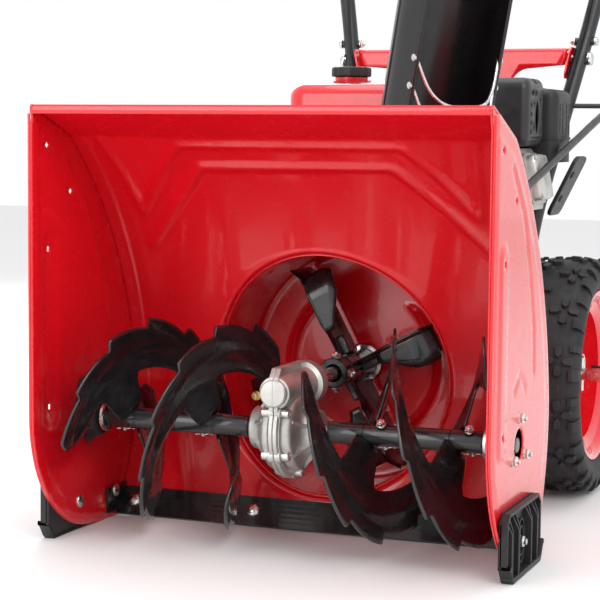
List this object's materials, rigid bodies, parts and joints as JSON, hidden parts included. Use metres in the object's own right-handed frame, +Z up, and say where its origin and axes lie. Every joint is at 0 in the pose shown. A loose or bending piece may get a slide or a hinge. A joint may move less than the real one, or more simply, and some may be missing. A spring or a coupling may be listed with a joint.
{
  "type": "snow blower",
  "caption": "Two-stage walk-behind snow blower: wide auger housing with serrated augers, impeller, turning chute, engine, friction-drive wheels and handlebars.",
  "frame": {"origin": "on the floor under the middle of the bounding box", "axes": "+X to the operator left, +Y backwards to the operator, +Z up; the auger housing faces -Y"},
  "size_m": [0.644, 1.455, 1.0387],
  "materials": {
    "red_paint": "glossy powder coat",
    "black_paint": "gloss black paint",
    "zinc_steel": "zinc plated",
    "black_plastic": "moulded",
    "cast_aluminium": "cast",
    "bronze": "machined",
    "pulley_iron": "turned",
    "muffler_steel": "heat stained",
    "rubber": "matt",
    "tyre_rubber": "moulded tread",
    "red_plastic": "moulded"
  },
  "bodies": {
    "frame": {"side_plate_left": "red_paint", "side_plate_right": "red_paint", "bucket_shell": "red_paint", "impeller_drum": "red_paint", "scraper_bar": "black_paint", "bolts": "zinc_steel", "bearings": "black_plastic", "gearbox_case_left": "cast_aluminium", "gearbox_case_right": "cast_aluminium", "belt_cover": "black_plastic", "chassis_box": "black_paint", "crankcase": "cast_aluminium", "cylinder_head": "cast_aluminium", "muffler": "muffler_steel", "muffler_guard": "black_paint", "engine_shroud": "black_plastic", "recoil_starter": "black_plastic", "fuel_tank": "red_paint", "carburettor_cover": "black_plastic", "cables": "rubber", "lower_handlebars": "black_paint", "upper_handlebars": "black_paint", "grips": "rubber", "cross_bracket": "red_paint", "control_panel": "black_plastic", "belts": "rubber"},
    "skid_left": {"skid_shoe_left": "black_paint"},
    "skid_right": {"skid_shoe_right": "black_paint"},
    "augers": {"auger_shaft": "black_paint", "auger_left": "black_paint", "auger_right": "black_paint", "shear_pins": "zinc_steel", "worm_wheel": "bronze"},
    "impeller_set": {"impeller_shaft": "zinc_steel", "impeller": "black_paint", "impeller_pulley": "pulley_iron"},
    "engine_shaft": {"engine_pulleys": "zinc_steel"},
    "auger_idler": {"auger_idler_arm": "black_paint"},
    "auger_idler_wheel": {"auger_idler_pulley": "black_plastic"},
    "drive_idler": {"drive_idler_arm": "black_paint"},
    "drive_idler_wheel": {"drive_idler_pulley": "black_plastic"},
    "drive_plate": {"drive_disc": "cast_aluminium"},
    "hex_shaft": {"hex_shaft": "zinc_steel"},
    "friction_wheel": {"friction_wheel": "rubber"},
    "wheels": {"axle": "zinc_steel", "wheel_rims": "red_paint", "tyres": "tyre_rubber"},
    "chute": {"chute": "black_plastic"},
    "deflector": {"deflector": "black_plastic"},
    "chute_worm": {"chute_worm": "zinc_steel"},
    "crank_rod": {"crank_rod": "black_paint"},
    "recoil_handle": {"recoil_handle": "black_plastic"},
    "fuel_cap": {"fuel_cap": "black_plastic"},
    "choke_knob": {"choke_knob": "black_plastic"},
    "throttle_lever": {"throttle_lever": "black_plastic"},
    "ignition_key": {"ignition_key": "red_plastic"},
    "primer_button": {"primer_button": "red_plastic"},
    "drive_lever": {"drive_lever": "black_plastic"},
    "auger_lever": {"auger_lever": "black_plastic"},
    "speed_lever": {"speed_lever": "black_plastic"}
  },
  "joints": [
    {"name": "skid_left_height", "type": "slide", "parent": "frame", "child": "skid_left", "axis": [0, 0, 1], "range_m": [-0.01, 0.008]},
    {"name": "skid_right_height", "type": "slide", "parent": "frame", "child": "skid_right", "axis": [0, 0, 1], "range_m": [-0.01, 0.008]},
    {"name": "auger_spin", "type": "hinge", "parent": "frame", "child": "augers", "pos_m": [0, -0.5875, 0.157], "axis": [1, 0, 0], "continuous": true},
    {"name": "impeller_spin", "type": "hinge", "parent": "frame", "child": "impeller_set", "pos_m": [0, -0.4275, 0.211], "axis": [0, 1, 0], "continuous": true},
    {"name": "engine_shaft_spin", "type": "hinge", "parent": "frame", "child": "engine_shaft", "pos_m": [0, -0.2275, 0.436], "axis": [0, 1, 0], "continuous": true},
    {"name": "auger_idler_swing", "type": "hinge", "parent": "frame", "child": "auger_idler", "pos_m": [-0.108, -0.2375, 0.262], "axis": [0, 1, 0], "range_deg": [0, 13]},
    {"name": "auger_idler_spin", "type": "hinge", "parent": "auger_idler", "child": "auger_idler_wheel", "pos_m": [-0.098, -0.2455, 0.345], "axis": [0, 1, 0], "continuous": true},
    {"name": "drive_idler_swing", "type": "hinge", "parent": "frame", "child": "drive_idler", "pos_m": [0.108, -0.2155, 0.285], "axis": [0, -1, 0], "range_deg": [0, 14]},
    {"name": "drive_idler_spin", "type": "hinge", "parent": "drive_idler", "child": "drive_idler_wheel", "pos_m": [0.085, -0.2235, 0.345], "axis": [0, 1, 0], "continuous": true},
    {"name": "drive_disc_spin", "type": "hinge", "parent": "frame", "child": "drive_plate", "pos_m": [0, -0.1875, 0.25], "axis": [0, 1, 0], "continuous": true},
    {"name": "axle_spin", "type": "hinge", "parent": "frame", "child": "wheels", "pos_m": [0, -0.0545, 0.18], "axis": [1, 0, 0], "continuous": true},
    {"name": "hex_shaft_spin", "type": "hinge", "parent": "frame", "child": "hex_shaft", "pos_m": [0, -0.1191, 0.25], "axis": [1, 0, 0], "continuous": true},
    {"name": "friction_wheel_shift", "type": "slide", "parent": "hex_shaft", "child": "friction_wheel", "axis": [1, 0, 0], "range_m": [-0.045, 0.045]},
    {"name": "chute_turn", "type": "hinge", "parent": "frame", "child": "chute", "pos_m": [0.1, -0.3695, 0.45], "axis": [0, 0, 1], "range_deg": [-150, 40]},
    {"name": "deflector_tilt", "type": "hinge", "parent": "chute", "child": "deflector", "pos_m": [0.17413, -0.42141, 0.812], "axis": [0.5736, 0.8192, 0], "range_deg": [0, 45]},
    {"name": "chute_worm_turn", "type": "hinge", "parent": "frame", "child": "chute_worm", "pos_m": [0.217, -0.3275, 0.456], "axis": [0, 1, 0], "range_deg": [-1800, 480]},
    {"name": "crank_turn", "type": "hinge", "parent": "frame", "child": "crank_rod", "pos_m": [0.217, -0.2755, 0.456], "axis": [0.0767, 0.9568, 0.2806], "range_deg": [-1800, 480]},
    {"name": "recoil_pull", "type": "slide", "parent": "frame", "child": "recoil_handle", "axis": [0, 1, 0], "range_m": [0, 0.35], "stiffness_N_per_m": 40, "springref_m": -0.1},
    {"name": "fuel_cap_turn", "type": "hinge", "parent": "frame", "child": "fuel_cap", "pos_m": [-0.1, -0.0875, 0.63], "axis": [0, 0, 1], "range_deg": [0, 120]},
    {"name": "choke_turn", "type": "hinge", "parent": "frame", "child": "choke_knob", "pos_m": [-0.19, -0.1275, 0.476], "axis": [-1, 0, 0], "range_deg": [0, 90]},
    {"name": "throttle_swing", "type": "hinge", "parent": "frame", "child": "throttle_lever", "pos_m": [-0.14, -0.0595, 0.49], "axis": [1, 0, 0], "range_deg": [-20, 20]},
    {"name": "key_pull", "type": "slide", "parent": "frame", "child": "ignition_key", "axis": [-1, 0, 0], "range_m": [0, 0.014]},
    {"name": "primer_press", "type": "slide", "parent": "frame", "child": "primer_button", "axis": [1, 0, 0], "range_m": [0, 0.006], "stiffness_N_per_m": 500, "springref_m": -0.003},
    {"name": "drive_lever_squeeze", "type": "hinge", "parent": "frame", "child": "drive_lever", "pos_m": [0.268, 0.5345, 1.022], "axis": [-1, 0, 0], "range_deg": [0, 16], "stiffness_Nm_per_rad": 6, "springref_deg": -17.19},
    {"name": "auger_lever_squeeze", "type": "hinge", "parent": "frame", "child": "auger_lever", "pos_m": [-0.268, 0.5345, 1.022], "axis": [-1, 0, 0], "range_deg": [0, 16], "stiffness_Nm_per_rad": 6, "springref_deg": -17.19},
    {"name": "speed_lever_tilt", "type": "hinge", "parent": "frame", "child": "speed_lever", "pos_m": [0, 0.3625, 0.9], "axis": [1, 0, 0], "range_deg": [-18, 18]}
  ],
  "couplings": [
    {"joint": "impeller_spin", "follows": "auger_spin", "ratio": -20},
    {"joint": "auger_idler_swing", "follows": "auger_lever_squeeze", "ratio": 0.8},
    {"joint": "drive_idler_swing", "follows": "drive_lever_squeeze", "ratio": 0.85},
    {"joint": "hex_shaft_spin", "follows": "axle_spin", "ratio": -5},
    {"joint": "friction_wheel_shift", "follows": "speed_lever_tilt", "m_per_rad": 0.14},
    {"joint": "chute_worm_turn", "follows": "chute_turn", "ratio": 12},
    {"joint": "crank_turn", "follows": "chute_turn", "ratio": 12}
  ]
}
